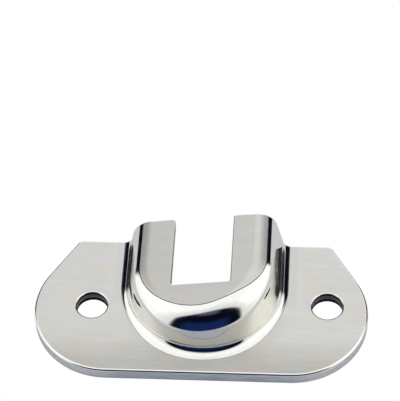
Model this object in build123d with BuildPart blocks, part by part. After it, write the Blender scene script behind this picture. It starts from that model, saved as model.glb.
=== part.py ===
"""Stainless slotted pocket bracket for a boat's deck or gunwale, with its high side to the right.

One pressed or cast piece: a flat flange with two fixing holes, and a hollow raised pocket that is
open underneath and at the back, with a wide slot cut forward from the back through its sloping roof.

Frame, in millimetres: the origin is the middle of the flange's underside, +Z is up, away from the
surface that the flange is bolted to, +Y points to the open back and +X to the pocket's high side.
"""

import os
from math import atan, cos, radians, tan

from build123d import *

# Flange
width = 76.2
depth = 36.5
plate_thickness = 3.1
end_radius = 17.4
back_edge_length = 58.8
flange_edge_rounding = 0.5

# Fixing holes, both clear for an M6 or 1/4 inch fastener
hole_diameter = 7.1
hole_rim_rounding = 0.3
low_side_hole = (-25.0, -0.2)
high_side_hole = (28.8, 1.1)

# Raised pocket, outside: a half-round front and straight sides, with every wall leaning in.
# The foot is where the wall would meet the flange's top without its blend.
wall_draft = 12.0
foot_radius = 18.0
foot_centre = (0.6, 5.6)
foot_blend = 2.2
shoulder_rounding = 5.0

# Roof: flat and sloping sideways, ground a little lower than the shoulder's rounding leaves it
roof_height = 13.1
roof_slope = 0.155
grinding_depth = 0.22

# Inside of the pocket
wall_thickness = 3.0
roof_thickness = 3.0
ceiling_rounding = 1.5

# Slot through the roof, between the low-side and the high-side horn
slot_width = 13.5
slot_centre_x = 0.15
slot_front_y = -0.6
slot_corner_rounding = 0.5
horn_corner_rounding = 0.6

# Worked out from the sizes above
back_y = depth / 2
end_centre = (width / 2 - end_radius, end_radius - back_y)
base_radius = foot_radius + plate_thickness * tan(radians(wall_draft))
ceiling_height = roof_height - roof_thickness / cos(atan(roof_slope))
beyond = 10.0


def sloping_plane(height):
    """The plane that crosses the origin's vertical at this height and slopes as the roof does."""
    return Plane(origin=(0, 0, height), x_dir=(1, 0, roof_slope), z_dir=(-roof_slope, 0, 1))


def leaning_walls(radius):
    """A round-fronted block on the underside's plane, whose walls lean in, taller and longer than needed."""
    with BuildPart() as block:
        with BuildSketch():
            with Locations(foot_centre):
                Circle(radius)
                Rectangle(
                    2 * radius,
                    back_y + beyond - foot_centre[1],
                    align=(Align.CENTER, Align.MIN),
                )
        extrude(amount=roof_height + beyond, taper=wall_draft)
    return block.part


# The space inside the pocket, which runs out through the back
with BuildPart() as hollow:
    add(leaning_walls(base_radius - wall_thickness / cos(radians(wall_draft))))
    split(bisect_by=sloping_plane(ceiling_height), keep=Keep.BOTTOM)
    ceiling = hollow.faces().sort_by(Axis.Z)[-1]
    fillet(ceiling.edges(), radius=ceiling_rounding)

# The pocket's outside, cut off flush with the flange's back edge
with BuildPart() as pocket_block:
    add(leaning_walls(base_radius))
    split(bisect_by=Plane(origin=(0, back_y, 0), z_dir=(0, 1, 0)), keep=Keep.BOTTOM)
    split(bisect_by=sloping_plane(roof_height + grinding_depth), keep=Keep.BOTTOM)
    unground_roof = pocket_block.faces().sort_by(Axis.Z)[-1]
    fillet(unground_roof.edges().sort_by(Axis.Y)[:-1], radius=shoulder_rounding)

with BuildPart() as bracket:
    # Flange: two round ends and a shorter straight back edge, joined by tangent lines
    with BuildSketch() as flange_outline:
        with Locations((-end_centre[0], end_centre[1]), end_centre):
            Circle(end_radius)
        with Locations((0, back_y)):
            Rectangle(back_edge_length, end_radius, align=(Align.CENTER, Align.MAX))
        make_hull()
    extrude(amount=plate_thickness)
    # Its top edge is rounded over, apart from the straight back edge
    top_edges = bracket.edges().group_by(Axis.Z)[-1]
    fillet(top_edges.sort_by(Axis.Y)[:-1], radius=flange_edge_rounding)

    # Raised pocket, blended into the flange all round its foot, with its roof ground flat
    add(pocket_block.part)
    foot_edges = bracket.edges(Select.NEW).filter_by_position(Axis.Z, plate_thickness, plate_thickness)
    fillet(foot_edges.sort_by(Axis.Y)[:3], radius=foot_blend)
    split(bisect_by=sloping_plane(roof_height), keep=Keep.BOTTOM)
    add(hollow.part, mode=Mode.SUBTRACT)

    # Slot, open at the back
    with BuildSketch() as slot_outline:
        with Locations((slot_centre_x, slot_front_y)):
            Rectangle(slot_width, depth, align=(Align.CENTER, Align.MIN))
        fillet(slot_outline.vertices().group_by(Axis.Y)[0], radius=slot_corner_rounding)
    extrude(amount=roof_height + beyond, mode=Mode.SUBTRACT)
    horn_corners = bracket.edges(Select.NEW).filter_by(Axis.Z).sort_by(Axis.Y)[-2:]
    fillet(horn_corners, radius=horn_corner_rounding)

    # Fixing holes
    with Locations(low_side_hole, high_side_hole):
        Hole(hole_diameter / 2)
    fillet(bracket.edges(Select.LAST).filter_by(GeomType.CIRCLE), radius=hole_rim_rounding)

bracket.part.label = "slotted_bracket"

os.makedirs("parts", exist_ok=True)
export_step(bracket.part, "parts/slotted_bracket.step")
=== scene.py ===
from math import acos, atan, atan2, ceil, cos, hypot, pi, radians, sin, tan

import bpy
import numpy as np
from mathutils import Matrix, Vector
from mathutils.geometry import tessellate_polygon


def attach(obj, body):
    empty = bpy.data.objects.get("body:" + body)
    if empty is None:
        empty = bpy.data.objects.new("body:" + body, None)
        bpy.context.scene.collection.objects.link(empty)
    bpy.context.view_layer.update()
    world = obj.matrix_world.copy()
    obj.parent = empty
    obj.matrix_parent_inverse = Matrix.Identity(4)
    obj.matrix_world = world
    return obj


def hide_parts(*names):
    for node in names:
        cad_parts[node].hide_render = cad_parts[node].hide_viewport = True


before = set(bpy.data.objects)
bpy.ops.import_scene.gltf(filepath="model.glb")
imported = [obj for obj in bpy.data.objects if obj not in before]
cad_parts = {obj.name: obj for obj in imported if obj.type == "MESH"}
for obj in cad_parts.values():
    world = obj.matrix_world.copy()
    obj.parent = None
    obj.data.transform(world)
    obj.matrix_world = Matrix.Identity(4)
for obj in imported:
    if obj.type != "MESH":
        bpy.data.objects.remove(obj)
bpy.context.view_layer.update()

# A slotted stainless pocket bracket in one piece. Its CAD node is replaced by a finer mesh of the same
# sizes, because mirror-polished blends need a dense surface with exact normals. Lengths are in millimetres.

NODE = "slotted_bracket"
MM = 0.001

# ----------------------------------------------------------------------------------------------------
# Sizes
# ----------------------------------------------------------------------------------------------------

WIDTH = 76.2
DEPTH = 36.5
PLATE = 3.1
END_RADIUS = 17.4
BACK_EDGE = 58.8
BACK_Y = DEPTH / 2
REAR_CORNER = 1.0

HOLES = ((-25.0, -0.2), (28.8, 1.1))
HOLE_RADIUS = 3.55
HOLE_RIM = 0.3

DRAFT = radians(12)
FOOT_RADIUS = 18.0
FOOT_CENTRE = np.array([0.6, 5.6])
ROOF_HEIGHT = 13.1
ROOF_SLOPE = 0.155
WALL_THICKNESS = 3.0
ROOF_THICKNESS = 3.0

SLOT_LOW_X = -6.6
SLOT_HIGH_X = 6.9
SLOT_FRONT_Y = -0.6
SLOT_CORNER = 0.5
HORN_CORNER = 0.6

# Roundings of the edges round the flange's top, round the pocket's back, round the slot and underneath
FLANGE_ROUNDING = 0.5
POCKET_ROUNDING = 0.3
SLOT_ROUNDING = 0.18
UNDER_ROUNDING = 0.25
# The higher it is, the later the flange's rounding passes into the back's, while its side turns backwards
CORNER_SHARPNESS = 8

# Finishes, in the order of the bracket's materials. The dark line between satin and polish is painted shade,
# and so are the holes' dark walls, which also carry a painted reflection.
SATIN, ROOF, POLISHED, SHADE_LINE, EDGE, SHADED_BORE, INNER = range(7)

# The two sides of the metal, outside and inside. The base is the height of the flat part round the pocket,
# and the radius is the leaning wall's at that height. Where there are three numbers, they are for the low
# side, the front and the high side of the pocket:
#   blend     radius of the blend between the base and the wall
#   shoulder  radius of the rounding between the wall and the roof
#   cut_off   how far short of the roof's direction grinding cuts the shoulder off
#   satin     how far round the shoulder the roof's satin reaches
#   polish    how far the polish reaches past the blend onto the base, or falls short of the blend's end
OUTSIDE = dict(
    facing=1, base=PLATE, radius=FOOT_RADIUS, roof=ROOF_HEIGHT,
    blend=(2.0, 1.9, 2.0), shoulder=(5.5, 6.6, 4.5), cut_off=(0, radians(15), 0),
    satin=(radians(22), radians(15), radians(41)), polish=(-0.4, 0.85, -0.4),
    flange_rounding=FLANGE_ROUNDING, back_rounding=POCKET_ROUNDING,
    # The line between satin and polish is a dark line of painted shade
    on_base=SATIN, on_roof=ROOF, on_wall=POLISHED, on_shade_line=SHADE_LINE, on_front_rim=SHADED_BORE,
)
INSIDE = dict(
    facing=-1, base=0.0, radius=FOOT_RADIUS + PLATE * tan(DRAFT) - WALL_THICKNESS / cos(DRAFT),
    roof=ROOF_HEIGHT - ROOF_THICKNESS / cos(atan(ROOF_SLOPE)),
    blend=(0.4, 0.4, 0.4), shoulder=(1.5, 1.5, 1.5), cut_off=(0, 0, 0), satin=(0, 0, 0), polish=(0, 0, 0),
    flange_rounding=UNDER_ROUNDING, back_rounding=UNDER_ROUNDING,
    on_base=INNER, on_roof=INNER, on_wall=INNER, on_shade_line=INNER, on_front_rim=INNER,
)
# The higher it is, the nearer to the front the polish's reach changes from the sides' to the front's
POLISH_SHARPNESS = 2.5
# The painted shade line: a dark line painted between satin and polish
SHADE_LINE_WIDTH = 0.2
# The front of a hole's rim is where the hole's wall faces the back by more than this
FRONT_RIM = 0.2

LEVEL = np.array([0.0, 0.0, 1.0])
BACKWARD = np.array([0.0, 1.0, 0.0])

# Mesh fineness: points across each part of the pocket's skin, then steps along curves
SATIN_STEPS = 8
BLEND_STEPS = 20
WALL_STEPS = 6
SHOULDER_STEPS = 36
ROUND_STEPS = 180
EDGE_STEPS = 6
ARC_STEP = radians(3)
SMALL_TURN = 1e-4
# Points that round to the same place share a vertex
VERTEX_PLACES_PER_MM = 1e4


# ----------------------------------------------------------------------------------------------------
# A mesh that is collected patch by patch
# ----------------------------------------------------------------------------------------------------

class Collector:
    """Faces that share vertices wherever they meet, with a normal for each face corner."""

    def __init__(self):
        self.found = {}
        self.points = []
        self.faces = []
        self.normals = []
        self.slots = []

    def vertex(self, point):
        """The number of the vertex at a point, which is made if it isn't there yet."""
        key = tuple(int(round(c * VERTEX_PLACES_PER_MM)) for c in point)
        if key not in self.found:
            self.found[key] = len(self.points)
            self.points.append([c * MM for c in point])
        return self.found[key]

    def face(self, points, normals, slot):
        """One face, turned to look the way its normals point. Corners that fall together are merged."""
        corners = [self.vertex(p) for p in points]
        if len(set(corners)) < 3:
            return
        kept = [k for k in range(len(corners)) if corners[k] != corners[k - 1]]
        looks = np.cross(points[2] - points[0], points[-1] - points[1])
        if looks @ sum(normals) < 0:
            kept.reverse()
        self.faces.append([corners[k] for k in kept])
        self.normals.extend(normals[k] for k in kept)
        self.slots.append(slot)

    def strip(self, row, next_row, normals, next_normals, slots):
        """Four-sided faces between two rows of points, of one finish or a list of them."""
        for k in range(len(row) - 1):
            self.face([row[k], row[k + 1], next_row[k + 1], next_row[k]],
                      [normals[k], normals[k + 1], next_normals[k + 1], next_normals[k]],
                      slots if isinstance(slots, int) else slots[k])

    def flat(self, normal, slot, *loops):
        """A flat patch inside the first loop and outside the others."""
        points = [p for loop in loops for p in loop]
        for corners in tessellate_polygon([[Vector(p) for p in loop] for loop in loops]):
            self.face([points[k] for k in corners], [normal] * 3, slot)

    def build(self, name, materials):
        """The collected mesh as an object in the scene."""
        mesh = bpy.data.meshes.new(name)
        mesh.from_pydata(self.points, [], self.faces)
        for material in materials:
            mesh.materials.append(material)
        mesh.polygons.foreach_set("material_index", self.slots)
        mesh.polygons.foreach_set("use_smooth", [True] * len(self.faces))
        mesh.normals_split_custom_set([tuple(n) for n in self.normals])
        mesh.update()
        made = bpy.data.objects.new(name, mesh)
        bpy.context.scene.collection.objects.link(made)
        return made


# ----------------------------------------------------------------------------------------------------
# The pocket's surfaces
# ----------------------------------------------------------------------------------------------------

def unit(vector):
    """A direction as a vector of length 1."""
    return vector / np.linalg.norm(vector)


def around(values, direction, sharpness=1):
    """A size that passes smoothly from the low side to the front and on to the high side."""
    low, front, high = values
    side = low if direction[0] < 0 else high
    ahead = max(0.0, -direction[1])
    return side + (front - side) * (ahead * ahead * (3 - 2 * ahead)) ** sharpness


def blend_curve(form, direction):
    """Part of a section: the base and the blend from it up to the wall."""
    blend = around(form["blend"], direction)
    blend_u = form["radius"] + blend * (1 - sin(DRAFT)) / cos(DRAFT)
    # Distances along the base and up the blend, from the blend's outer end
    border = -around(form["polish"], direction, POLISH_SHARPNESS)
    along = np.concatenate([
        np.linspace(min(border, 0), border, SATIN_STEPS),
        np.linspace(border + SHADE_LINE_WIDTH, blend * (pi / 2 - DRAFT), BLEND_STEPS),
    ])
    faced = pi / 2 - np.maximum(along, 0) / blend
    u = blend_u - blend * np.cos(faced) - np.minimum(along, 0)
    return u, form["base"] + blend - blend * np.sin(faced), faced


def shoulder_curve(form, direction):
    """Part of a section: the rounding from the wall to where the roof's flat begins."""
    shoulder = around(form["shoulder"], direction)
    cut_off = around(form["cut_off"], direction)
    satin = around(form["satin"], direction)
    slope = ROOF_SLOPE * direction[0]
    tilt = atan(slope)
    # The shoulder's centre lies where it touches both the wall and the roof, before grinding
    unground = form["roof"] + ROOF_SLOPE * FOOT_CENTRE[0] + shoulder * (1 - cos(cut_off)) / cos(tilt)
    rise = unground - form["base"] - shoulder / cos(tilt)
    reach = form["radius"] * cos(DRAFT) - shoulder - rise * sin(DRAFT)
    centre_u = reach / (cos(DRAFT) + slope * sin(DRAFT))
    centre_z = form["base"] + rise + slope * centre_u
    satin_edge = pi / 2 + tilt - max(satin, cut_off)
    faced = np.concatenate([
        np.linspace(DRAFT, satin_edge - SHADE_LINE_WIDTH / shoulder, SHOULDER_STEPS),
        np.linspace(satin_edge, pi / 2 + tilt - cut_off, SATIN_STEPS),
    ])
    return centre_u + shoulder * np.cos(faced), centre_z + shoulder * np.sin(faced), faced


def section(form, angle):
    """Points on the skin from the base up to the roof, in the upright plane through the spine at an angle.

    The spine is the axis of the pocket's round front. For each point this gives its distance from the
    spine, its height and how far above level the skin faces there.
    """
    direction = (cos(angle), sin(angle))
    low_u, low_z, low_faced = blend_curve(form, direction)
    high_u, high_z, high_faced = shoulder_curve(form, direction)
    wall_u = np.linspace(low_u[-1], high_u[0], WALL_STEPS)[1:-1]
    wall_z = np.linspace(low_z[-1], high_z[0], WALL_STEPS)[1:-1]
    faced = np.concatenate([low_faced, np.full(len(wall_u), DRAFT), high_faced])
    return np.concatenate([low_u, wall_u, high_u]), np.concatenate([low_z, wall_z, high_z]), faced


def skin_slots(form):
    """The finish of each strip between two neighbouring points of a section."""
    base = [form["on_base"]] * (SATIN_STEPS - 1)
    wall = [form["on_wall"]] * ((BLEND_STEPS - 1) + (WALL_STEPS - 1) + (SHOULDER_STEPS - 1))
    roof = [form["on_roof"]] * (SATIN_STEPS - 1)
    line = [form["on_shade_line"]]
    return base + line + wall + line + roof


def section_points(form, angle, spine_y=FOOT_CENTRE[1]):
    """The points of a section in space. Beside the pocket's straight sides the spine can be further back."""
    u, z = section(form, angle)[:2]
    return np.stack([FOOT_CENTRE[0] + u * cos(angle), spine_y + u * sin(angle), z], axis=1)


def section_normals(form, angle):
    """The skin's normals as far as the section's own plane shows them, pointing out of the metal."""
    faced = section(form, angle)[2]
    level = np.cos(faced)
    return form["facing"] * np.stack([level * cos(angle), level * sin(angle), np.sin(faced)], axis=1)


def skin(form):
    """Rows of points and normals over the pocket, from its low side's back edge to its high side's."""
    points, normals = [], []
    for angle in np.linspace(pi, 2 * pi, ROUND_STEPS + 1):
        across = section_normals(form, angle)
        faced = section(form, angle)[2]
        up = np.stack([-np.sin(faced) * cos(angle), -np.sin(faced) * sin(angle), np.cos(faced)], axis=1)
        along = section_points(form, angle + SMALL_TURN) - section_points(form, angle - SMALL_TURN)
        # From here the sides run straight back
        if angle in (pi, 2 * pi):
            along = np.tile(BACKWARD, (len(up), 1))
        outward = np.cross(along, up)
        outward *= (np.sign(np.sum(outward * across, axis=1)) / np.linalg.norm(outward, axis=1))[:, None]
        points.append(section_points(form, angle))
        normals.append(outward)
    low, high = (section_points(form, angle, BACK_Y - form["back_rounding"]) for angle in (pi, 2 * pi))
    return [low] + points + [high], [normals[0]] + normals + [normals[-1]]


def roof_normal(form):
    """The way that the roof faces, out of the metal."""
    return form["facing"] * unit(np.array([-ROOF_SLOPE, 0.0, 1.0]))


def on_roof(form, plan):
    """Points in plan, raised onto the roof."""
    return [np.array([x, y, form["roof"] + ROOF_SLOPE * x]) for x, y in plan]


# ----------------------------------------------------------------------------------------------------
# Outlines in plan: lists of points, with the level directions that the metal's sides face there
# ----------------------------------------------------------------------------------------------------

def arc(centre, radius, start, stop, inward=False):
    """Points on an arc and directions away from its centre, or towards it for the edge of an opening."""
    steps = max(2, ceil(abs(stop - start) / ARC_STEP))
    turns = [start + (stop - start) * k / steps for k in range(steps + 1)]
    sign = -1 if inward else 1
    return ([(centre[0] + radius * cos(a), centre[1] + radius * sin(a)) for a in turns],
            [np.array([sign * cos(a), sign * sin(a), 0.0]) for a in turns])


def joined(*arcs):
    """One outline from arcs and the straight lines between them."""
    return [p for points, faces in arcs for p in points], [n for points, faces in arcs for n in faces]


def flange_outline():
    """From the low-side end of the back edge round the front to its high-side end."""
    x, y = WIDTH / 2 - END_RADIUS, END_RADIUS - BACK_Y
    out, back = BACK_EDGE / 2 - x, BACK_Y - y
    turn = atan2(back, out) - acos(END_RADIUS / hypot(out, back))
    corner = (BACK_EDGE / 2 - REAR_CORNER * (1 - sin(turn)) / cos(turn), BACK_Y - REAR_CORNER)
    return joined(
        arc((-corner[0], corner[1]), REAR_CORNER, pi / 2, pi - turn),
        arc((-x, y), END_RADIUS, pi - turn, 1.5 * pi),
        arc((x, y), END_RADIUS, 1.5 * pi, 2 * pi + turn),
        arc(corner, REAR_CORNER, turn, pi / 2),
    )


def slot_outline():
    """From the high-side horn's back edge forwards, along the slot's front and to the other horn's back."""
    front = SLOT_FRONT_Y + SLOT_CORNER
    back = BACK_Y - HORN_CORNER
    return joined(
        arc((SLOT_HIGH_X + HORN_CORNER, back), HORN_CORNER, pi / 2, pi),
        arc((SLOT_HIGH_X - SLOT_CORNER, front), SLOT_CORNER, 0, -pi / 2, inward=True),
        arc((SLOT_LOW_X + SLOT_CORNER, front), SLOT_CORNER, -pi / 2, -pi, inward=True),
        arc((SLOT_LOW_X - HORN_CORNER, back), HORN_CORNER, 0, pi / 2),
    )


# ----------------------------------------------------------------------------------------------------
# Rounded edges
# ----------------------------------------------------------------------------------------------------

def rounded(corners, surfaces, sides, downs, radii):
    """Rows of points and normals that round an edge off, from the surface over to the side.

    For each corner these are the ways that the surface and the side face there, the way down the side from
    the surface and the radius. The sides are upright, so the way over to the side follows from the rest.
    """
    rows = [([], []) for k in range(EDGE_STEPS + 1)]
    for corner, surface, side, down, radius in zip(corners, surfaces, sides, downs, radii):
        edge = np.cross(surface, side)
        over = side - LEVEL * (side @ surface) / surface[2]
        for k, (points, normals) in enumerate(rows):
            turn = pi / 2 * k / EDGE_STEPS
            normal = np.cross(edge, cos(turn) * over + sin(turn) * down)
            normal *= np.sign(normal @ (surface + side))
            points.append(corner - (1 - sin(turn)) * radius * over + (1 - cos(turn)) * radius * down)
            normals.append(unit(normal))
    return rows


def edge_of(form):
    """Rows over the whole edge of one surface, the ends of its four stretches, and the way its sides face.

    The stretches are the flange, the high side of the back, the slot and the low side of the back.
    """
    flange, flange_sides = flange_outline()
    slot, slot_sides = slot_outline()
    high, low = (section_points(form, angle, BACK_Y) for angle in (2 * pi, pi))
    high_faced, low_faced = (section_normals(form, angle) for angle in (2 * pi, pi))
    low, low_faced = low[::-1], low_faced[::-1]
    outward = LEVEL * form["facing"]
    corners = [np.array([x, y, form["base"]]) for x, y in flange]
    corners += [*high, *on_roof(form, slot), *low]
    faced = [outward] * len(flange) + [*high_faced] + [roof_normal(form)] * len(slot) + [*low_faced]
    sides = flange_sides + [BACKWARD] * len(high) + slot_sides + [BACKWARD] * len(low)
    downs = [-outward] * len(flange) + [*-high_faced] + [-outward] * len(slot) + [*-low_faced]
    flange_radius, back_radius = form["flange_rounding"], form["back_rounding"]
    radii = [flange_radius + (back_radius - flange_radius) * max(0.0, side[1]) ** CORNER_SHARPNESS
             for side in flange_sides]
    radii += [back_radius] * len(high) + [SLOT_ROUNDING] * len(slot) + [back_radius] * len(low)
    rows = rounded(corners, faced, sides, downs, radii)
    return rows, np.cumsum([len(flange), len(high), len(slot), len(low)]), sides


def hole_rim(mesh, hole, form):
    """Rounds a hole's rim over and returns its ring in the flat round it and its ring in the hole.

    The front of the outside rim takes the hole wall's finish instead of the polish, so it is as dark as the
    wall: painted shade.
    """
    ring, sides = arc(hole, HOLE_RADIUS, 0, 2 * pi, inward=True)
    corners = [np.array([x, y, form["base"]]) for x, y in ring]
    outward = LEVEL * form["facing"]
    rows = rounded(corners, [outward] * len(ring), sides, [-outward] * len(ring), [HOLE_RIM] * len(ring))
    slots = [form["on_front_rim" if side[1] > FRONT_RIM else "on_wall"] for side in sides[1:]]
    for (row, faced), (next_row, next_faced) in zip(rows, rows[1:]):
        mesh.strip(row, next_row, faced, next_faced, slots)
    return rows[0][0], rows[-1][0]


# ----------------------------------------------------------------------------------------------------
# The bracket
# ----------------------------------------------------------------------------------------------------

def surface(mesh, form):
    """One side of the metal with its rounded edges. Returns the last row of its edge and of each hole's."""
    points, normals = skin(form)
    for k in range(len(points) - 1):
        mesh.strip(points[k], points[k + 1], normals[k], normals[k + 1], skin_slots(form))
    rows, stretch_ends = edge_of(form)[:2]
    flange_end, high_end, slot_end = stretch_ends[:3]
    for (row, faced), (next_row, next_faced) in zip(rows, rows[1:]):
        closed = [values + values[:1] for values in (row, next_row, faced, next_faced)]
        mesh.strip(*closed, form["on_wall"])
    rims = [hole_rim(mesh, hole, form) for hole in HOLES]
    border = rows[0][0]
    foot = [row[0] for row in points]
    crest = [row[-1] for row in points]
    rings = [flat_ring[:-1] for flat_ring, hole_ring in rims]
    mesh.flat(LEVEL * form["facing"], form["on_base"], border[:flange_end] + foot[::-1], *rings)
    mesh.flat(roof_normal(form), form["on_roof"], crest + border[high_end:slot_end])
    return rows[-1][0], [hole_ring for flat_ring, hole_ring in rims]


def cut_sides(mesh, upper, lower):
    """The sides between the two surfaces: round the flange, along the slot and at the back."""
    (flange_end, high_end, slot_end, low_end), sides = edge_of(OUTSIDE)[1:]
    flange, slot = slice(0, flange_end), slice(high_end, slot_end)
    mesh.strip(upper[flange], lower[flange], sides[flange], sides[flange], EDGE)
    mesh.strip(upper[slot], lower[slot], sides[slot], sides[slot], INNER)
    high_back = slice(flange_end - 1, high_end + 1)
    mesh.flat(BACKWARD, INNER, upper[high_back] + lower[high_back][::-1])
    low_back = slice(slot_end - 1, low_end)
    mesh.flat(BACKWARD, INNER, upper[low_back] + upper[:1] + lower[:1] + lower[low_back][::-1])


def bore(mesh, hole, top, bottom):
    """A fixing hole's wall, between its rings in the two surfaces."""
    faced = [unit(np.array([*hole, 0.0]) - point * (1, 1, 0)) for point in top]
    mesh.strip(top, bottom, faced, faced, SHADED_BORE)


def bracket_mesh(materials):
    """The whole bracket: two surfaces, the cut sides that join them, and the holes' walls."""
    mesh = Collector()
    upper, upper_rings = surface(mesh, OUTSIDE)
    lower, lower_rings = surface(mesh, INSIDE)
    cut_sides(mesh, upper, lower)
    for hole, top, bottom in zip(HOLES, upper_rings, lower_rings):
        bore(mesh, hole, top, bottom)
    return mesh.build("bracket", materials)


# ----------------------------------------------------------------------------------------------------
# Node helpers
# ----------------------------------------------------------------------------------------------------

def noise(tree, grains, detail=2.0):
    """Soft noise round 0.5 in the object's own axes, with so many grains per metre along x, y and z."""
    stretch = tree.nodes.new("ShaderNodeMapping")
    stretch.inputs["Scale"].default_value = grains
    tree.links.new(tree.nodes.new("ShaderNodeTexCoord").outputs["Object"], stretch.inputs["Vector"])
    cloud = tree.nodes.new("ShaderNodeTexNoise")
    cloud.inputs["Scale"].default_value = 1.0
    cloud.inputs["Detail"].default_value = detail
    tree.links.new(stretch.outputs["Vector"], cloud.inputs["Vector"])
    return cloud.outputs["Fac"]


def in_millimetres(tree):
    """The object's own x, y and z."""
    spread = tree.nodes.new("ShaderNodeVectorMath")
    spread.operation = "SCALE"
    spread.inputs["Scale"].default_value = 1 / MM
    tree.links.new(tree.nodes.new("ShaderNodeTexCoord").outputs["Object"], spread.inputs[0])
    split = tree.nodes.new("ShaderNodeSeparateXYZ")
    tree.links.new(spread.outputs[0], split.inputs[0])
    return split.outputs


def maths(tree, operation, *values):
    """What a Math node makes of numbers and node outputs."""
    node = tree.nodes.new("ShaderNodeMath")
    node.operation = operation
    for socket, value in zip(node.inputs, values):
        if isinstance(value, (int, float)):
            socket.default_value = value
        else:
            tree.links.new(value, socket)
    return node.outputs[0]


def product(tree, first, *others):
    """Numbers and node outputs, multiplied together."""
    for other in others:
        first = maths(tree, "MULTIPLY", first, other)
    return first


def rescaled(tree, value, low, high, start=0.3, stop=0.7, smooth=False):
    """Goes from low to high while value goes from start to stop, and no further."""
    node = tree.nodes.new("ShaderNodeMapRange")
    node.interpolation_type = "SMOOTHSTEP" if smooth else "LINEAR"
    tree.links.new(value, node.inputs["Value"])
    for socket, number in (("From Min", start), ("From Max", stop), ("To Min", low), ("To Max", high)):
        node.inputs[socket].default_value = number
    return node.outputs["Result"]


def rises(tree, value, start, stop):
    """Goes smoothly from 0 to 1 while value goes from start to stop."""
    return rescaled(tree, value, 0, 1, start, stop, smooth=True)


def falls(tree, value, start, stop):
    """Goes smoothly from 1 to 0 while value goes from start to stop."""
    return rescaled(tree, value, 1, 0, start, stop, smooth=True)


def blended(tree, share, first, second):
    """A colour between two others, each of which is a colour or a node's output."""
    mix = tree.nodes.new("ShaderNodeMix")
    mix.data_type = "RGBA"
    tree.links.new(share, mix.inputs[0])
    for socket, colour in zip(mix.inputs[6:8], (first, second)):
        if isinstance(colour, tuple):
            socket.default_value = (*colour, 1)
        else:
            tree.links.new(colour, socket)
    return mix.outputs[2]


def mottled(tree, cloud, first, second):
    """Patches of two colours, with soft borders, where noise is low and high."""
    return blended(tree, rescaled(tree, cloud, 0, 1), first, second)


def relief(tree, height, depth):
    """The normal of a surface whose height varies by so many millimetres."""
    bump = tree.nodes.new("ShaderNodeBump")
    bump.inputs["Distance"].default_value = depth * MM
    tree.links.new(height, bump.inputs["Height"])
    return bump.outputs["Normal"]


# ----------------------------------------------------------------------------------------------------
# Finishes
# ----------------------------------------------------------------------------------------------------

WARM_STEEL = (0.79, 0.755, 0.70)
COOL_STEEL = (0.745, 0.76, 0.755)
WORN_STEEL = (0.48, 0.48, 0.46)
# Darker than the satin, for the glossy stripe beside the pocket's foot: painted shade
GLOSSY_SHADED_STEEL = (0.62, 0.615, 0.60)
# How much of the satin's roughness the polishing mop's overrun takes away
OVERRUN_GLOSS = 0.34


def metal(name, finish):
    """A metal whose colour, roughness and normal are what the finish makes in its node tree."""
    material = bpy.data.materials.new(name)
    material.use_nodes = True
    tree = material.node_tree
    shader = tree.nodes["Principled BSDF"].inputs
    shader["Metallic"].default_value = 1
    for output, socket in zip(finish(tree), ("Base Color", "Roughness", "Normal")):
        tree.links.new(output, shader[socket])
    return material


def satin_steel(dullness, front_dullness):
    """Linished along the bracket's length: fine grain along x, and faint warm and cool patches.

    It is duller towards the front. The polishing mop's overrun has made a stripe on each side of the
    pocket's foot glossier; the stripe's darker colour is painted shade.
    """
    def finish(tree):
        grain = noise(tree, (90, 3400, 3400), 3)
        patches = mottled(tree, noise(tree, (210, 260, 260)), WARM_STEEL, COOL_STEEL)
        clouds = rescaled(tree, noise(tree, (130, 420, 420), 3), 0, 0.12)
        streaks = rescaled(tree, grain, 0, 0.06)
        satin = blended(tree, maths(tree, "ADD", clouds, streaks), patches, WORN_STEEL)
        x, y, z = in_millimetres(tree)
        gloss_and_shade = glossy_shaded_stripe(tree, x, y, z)
        rough = rescaled(tree, grain, -0.04, 0.04)
        along = rescaled(tree, y, front_dullness, dullness, -17, -7, smooth=True)
        dull = maths(tree, "ADD", rough, along)
        roughness = maths(tree, "SUBTRACT", dull, product(tree, gloss_and_shade, OVERRUN_GLOSS))
        return blended(tree, gloss_and_shade, satin, GLOSSY_SHADED_STEEL), roughness, relief(tree, grain, 0.0015)
    return finish


def glossy_shaded_stripe(tree, x, y, z):
    """1 beside the pocket's foot, down on the flange and behind its rounded front, and 0 elsewhere."""
    aside = maths(tree, "ABSOLUTE", maths(tree, "SUBTRACT", x, FOOT_CENTRE[0]))
    beside = falls(tree, maths(tree, "SUBTRACT", aside, FOOT_RADIUS), 2.5, 5)
    return product(tree, beside, low_down(tree, z), rises(tree, y, -3, 2))


def low_down(tree, z):
    """1 on the flange and 0 on the roof."""
    return falls(tree, z, PLATE + 1, PLATE + 2)


def polished_steel(tree):
    """Mop-polished to a mirror, a little warm, with a faint waviness and hazy spots."""
    haze = noise(tree, (700, 700, 700), 4)
    waves = noise(tree, (260, 260, 260))
    colour = mottled(tree, haze, (0.97, 0.965, 0.92), (0.93, 0.93, 0.90))
    return colour, rescaled(tree, haze, 0.07, 0.10), relief(tree, waves, 0.012)


def painted_shade_line_steel(tree):
    """A dark line of painted shade beside the polish, fainter round the foot's front."""
    blotches = noise(tree, (500, 500, 500), 3)
    dark = mottled(tree, blotches, (0.05, 0.06, 0.07), (0.20, 0.21, 0.21))
    y, z = in_millimetres(tree)[1:]
    faint = product(tree, falls(tree, y, -4, 6), low_down(tree, z))
    colour = blended(tree, faint, dark, (0.50, 0.53, 0.52))
    return colour, rescaled(tree, blotches, 0.3, 0.5), relief(tree, blotches, 0.005)


def flange_edge_steel(tree):
    """The flange's cut edge: cool grey, with dressing marks that run round it."""
    marks = noise(tree, (160, 160, 2400), 3)
    colour = mottled(tree, marks, (0.97, 0.98, 1.0), (0.66, 0.68, 0.72))
    return colour, rescaled(tree, marks, 0.28, 0.42), relief(tree, marks, 0.01)


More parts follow.
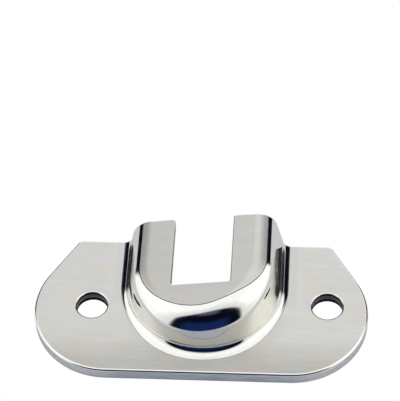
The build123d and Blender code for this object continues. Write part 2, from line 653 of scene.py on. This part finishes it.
def shaded_bore_steel(tree):
    """A fixing hole's wall, painted nearly black as shade, with fine rings from the drill and a painted
    blue-grey reflection in a band half way down.
    """
    rings = noise(tree, (120, 120, 3000), 2)
    # Painted shade: the wall's colour is nearly black
    dark = mottled(tree, rings, (0.02, 0.02, 0.03), (0.12, 0.12, 0.17))
    height = in_millimetres(tree)[2]
    # A painted reflection: a lighter blue-grey band half way down the hole's wall
    band = product(tree, rises(tree, height, 0.7, 1.5), falls(tree, height, 2.1, 2.6))
    colour = blended(tree, band, dark, (0.90, 0.90, 1.0))
    return colour, rescaled(tree, rings, 0.55, 0.7), relief(tree, rings, 0.01)


def inner_steel(tree):
    """The unpolished inside, underside and back edges: dull, finely pebbled and unevenly stained."""
    pebbles = noise(tree, (1500, 1500, 1500), 3)
    stains = noise(tree, (160, 160, 160), 3)
    colour = mottled(tree, stains, (0.52, 0.52, 0.52), (0.40, 0.39, 0.38))
    return colour, rescaled(tree, pebbles, 0.42, 0.56), relief(tree, pebbles, 0.02)


# ----------------------------------------------------------------------------------------------------
# Studio
# ----------------------------------------------------------------------------------------------------

# The floor lies a little below the bracket, so that the two don't share a surface
FLOOR_SIZE = 800
FLOOR_FRONT_Y = -45
FLOOR_GAP = 0.1

# The tent's opening, as it is seen from the bracket. The higher its squareness, the nearer its outline
# comes to a rectangle.
OPENING_AZIMUTH = radians(1.5)
OPENING_ELEVATION = radians(20)
OPENING_HALF_WIDTH = radians(47)
OPENING_HALF_HEIGHT = radians(42)
OPENING_SQUARENESS = 2.2

# The point that the camera looks at, and the camera's direction and distance from there, which were
# fitted to the photograph's outlines. The photograph shows the bracket low in the picture.
CAMERA_TARGET = (-2.199, 33.734, 0)
CAMERA_AZIMUTH = radians(5.336)
CAMERA_ELEVATION = radians(50.941)
CAMERA_ROLL = radians(-2.766)
CAMERA_DISTANCE = 529.78
CAMERA_LENS = 198.95


def studio_floor():
    """A white table that ends just in front of the bracket.

    The camera sees it burnt out to pure white from above, and doesn't see it from below.
    """
    place = (0, (FLOOR_SIZE / 2 + FLOOR_FRONT_Y) * MM, -FLOOR_GAP * MM)
    bpy.ops.mesh.primitive_plane_add(size=FLOOR_SIZE * MM, location=place)
    floor = bpy.context.object
    floor.name = "floor"
    material = bpy.data.materials.new("white_table")
    material.use_nodes = True
    tree = material.node_tree
    tree.nodes.clear()
    paper = tree.nodes.new("ShaderNodeBsdfDiffuse")
    tree.links.new(table_colour(tree, floor.location.y / MM), paper.inputs["Color"])
    glow = tree.nodes.new("ShaderNodeEmission")
    clear = tree.nodes.new("ShaderNodeBsdfTransparent")
    seen = tree.nodes.new("ShaderNodeLightPath").outputs["Is Camera Ray"]
    below = tree.nodes.new("ShaderNodeNewGeometry").outputs["Backfacing"]
    table = mixed(tree, below, mixed(tree, seen, paper.outputs[0], glow.outputs[0]), clear.outputs[0])
    tree.links.new(table, tree.nodes.new("ShaderNodeOutputMaterial").inputs[0])
    floor.data.materials.append(material)


def mixed(tree, share, first, second):
    """A shader between two others."""
    mix = tree.nodes.new("ShaderNodeMixShader")
    for socket, value in zip(mix.inputs, (share, first, second)):
        tree.links.new(value, socket)
    return mix.outputs[0]


def table_colour(tree, floor_y):
    """Nearly white, with painted shade under the flange's front and before it, and a dark painted shadow
    under the bracket's middle.
    """
    x, y = in_millimetres(tree)[:2]
    y = maths(tree, "ADD", y, floor_y)
    aside, off_middle = maths(tree, "ABSOLUTE", x), maths(tree, "ABSOLUTE", y)
    # Painted shadows: shade in front of the flange and a dark patch under the bracket's middle
    shade_in_front = product(tree, falls(tree, aside, 10, 36), falls(tree, y, -16, -8))
    shadow_under = product(tree, falls(tree, aside, 33, 37), falls(tree, off_middle, 6, 13))
    sheet = blended(tree, shade_in_front, (0.80, 0.81, 0.82), (0.50, 0.53, 0.60))
    return blended(tree, shadow_under, sheet, (0.02, 0.02, 0.03))


def white_tent():
    """White all round, with a dark room behind the opening in front and two dark bands low at the back.

    The camera itself sees pure white.
    """
    world = bpy.data.worlds.new("white_tent")
    bpy.context.scene.world = world
    world.use_nodes = True
    tree = world.node_tree
    tree.nodes.clear()
    azimuth, elevation = sky_direction(tree)
    aside = maths(tree, "ABSOLUTE", azimuth)
    distance = from_opening(tree, azimuth, elevation)
    opening = falls(tree, distance, 0.85, 1.15)
    halo = rescaled(tree, distance, 0.55, 0, 1.0, 2.8, smooth=True)
    band = product(tree, falls_off(tree, elevation, 45, 49), lobe(tree, aside, (118, 124), (152, 160)))
    dark = maths(tree, "MAXIMUM", opening, band)
    tent = blended(tree, halo, tent_cloth(tree, azimuth, elevation), (0.50, 0.56, 0.54))
    light = blended(tree, dark, tent, dark_room(tree, azimuth, elevation))
    seen = tree.nodes.new("ShaderNodeLightPath").outputs["Is Camera Ray"]
    glow = tree.nodes.new("ShaderNodeBackground")
    tree.links.new(blended(tree, seen, light, (1.0, 1.0, 1.0)), glow.inputs["Color"])
    tree.links.new(glow.outputs[0], tree.nodes.new("ShaderNodeOutputWorld").inputs[0])


def sky_direction(tree):
    """A direction's azimuth, from the front towards the high side, and its elevation, in radians."""
    split = tree.nodes.new("ShaderNodeSeparateXYZ")
    tree.links.new(tree.nodes.new("ShaderNodeTexCoord").outputs["Generated"], split.inputs[0])
    x, y, z = split.outputs
    return maths(tree, "ARCTAN2", x, maths(tree, "MULTIPLY", y, -1)), maths(tree, "ARCSINE", z)


def climbs(tree, angle, start, stop):
    """Goes smoothly from 0 to 1 while an angle goes from start to stop, in degrees."""
    return rises(tree, angle, radians(start), radians(stop))


def falls_off(tree, angle, start, stop):
    """Goes smoothly from 1 to 0 while an angle goes from start to stop, in degrees."""
    return falls(tree, angle, radians(start), radians(stop))


def lobe(tree, angle, rise, fall):
    """1 between two angles and 0 beyond. Each is given as the degrees where its change starts and stops."""
    return product(tree, climbs(tree, angle, *rise), falls_off(tree, angle, *fall))


def from_opening(tree, azimuth, elevation):
    """0 at the middle of the tent's opening and 1 at its edge. Below the middle only the azimuth counts."""
    def off(angle, middle, half):
        share = maths(tree, "DIVIDE", maths(tree, "SUBTRACT", angle, middle), half)
        return maths(tree, "POWER", maths(tree, "ABSOLUTE", share), OPENING_SQUARENESS)

    above = off(elevation, OPENING_ELEVATION, OPENING_HALF_HEIGHT)
    above = product(tree, above, climbs(tree, elevation, 18, 22))
    return maths(tree, "ADD", off(azimuth, OPENING_AZIMUTH, OPENING_HALF_WIDTH), above)


def dark_room(tree, azimuth, elevation):
    """Nearly black, with a navy glow low in front and a dim purple streak higher up."""
    aside = maths(tree, "ABSOLUTE", azimuth)
    glow = product(tree, falls_off(tree, elevation, 12, 30), falls_off(tree, aside, 22, 38))
    across, up = lobe(tree, azimuth, (-38, -20), (5, 25)), lobe(tree, elevation, (44, 53), (57, 64))
    room = blended(tree, glow, (0.002, 0.003, 0.008), (0.006, 0.018, 0.085))
    return blended(tree, product(tree, up, across), room, (0.10, 0.075, 0.14))


def tent_cloth(tree, azimuth, elevation):
    """White, and lit from outside on both sides, more strongly on the high side."""
    aside = maths(tree, "ABSOLUTE", azimuth)
    lit = product(tree, lobe(tree, elevation, (8, 24), (48, 64)), lobe(tree, aside, (45, 60), (100, 120)))
    lamp = blended(tree, climbs(tree, azimuth, -50, 50), (1.12, 1.12, 1.09), (1.34, 1.32, 1.25))
    return blended(tree, lit, (1.0, 1.0, 1.0), lamp)


def photo_camera():
    """A long lens from in front and above, turned a little about its own axis."""
    level = cos(CAMERA_ELEVATION)
    back = Vector((sin(CAMERA_AZIMUTH) * level, -cos(CAMERA_AZIMUTH) * level, sin(CAMERA_ELEVATION)))
    right = Vector((cos(CAMERA_AZIMUTH), sin(CAMERA_AZIMUTH), 0))
    across = right * cos(CAMERA_ROLL) + back.cross(right) * sin(CAMERA_ROLL)
    turned = Matrix((across, back.cross(across), back)).transposed().to_4x4()
    data = bpy.data.cameras.new("camera")
    data.lens = CAMERA_LENS
    camera = bpy.data.objects.new("camera", data)
    bpy.context.scene.collection.objects.link(camera)
    camera.matrix_world = Matrix.Translation((Vector(CAMERA_TARGET) + back * CAMERA_DISTANCE) * MM) @ turned
    bpy.context.scene.camera = camera


# ----------------------------------------------------------------------------------------------------
# The scene
# ----------------------------------------------------------------------------------------------------

bracket = bracket_mesh([
    metal("flange_satin_steel", satin_steel(dullness=0.45, front_dullness=0.76)),
    metal("roof_satin_steel", satin_steel(dullness=0.47, front_dullness=0.50)),
    metal("polished_steel", polished_steel),
    metal("painted_shade_line_steel", painted_shade_line_steel),
    metal("flange_edge_steel", flange_edge_steel),
    metal("shaded_bore_steel", shaded_bore_steel),
    metal("inner_steel", inner_steel),
])
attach(bracket, "root")
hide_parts(NODE)

studio_floor()
white_tent()
photo_camera()
bpy.context.scene.view_settings.view_transform = "Standard"
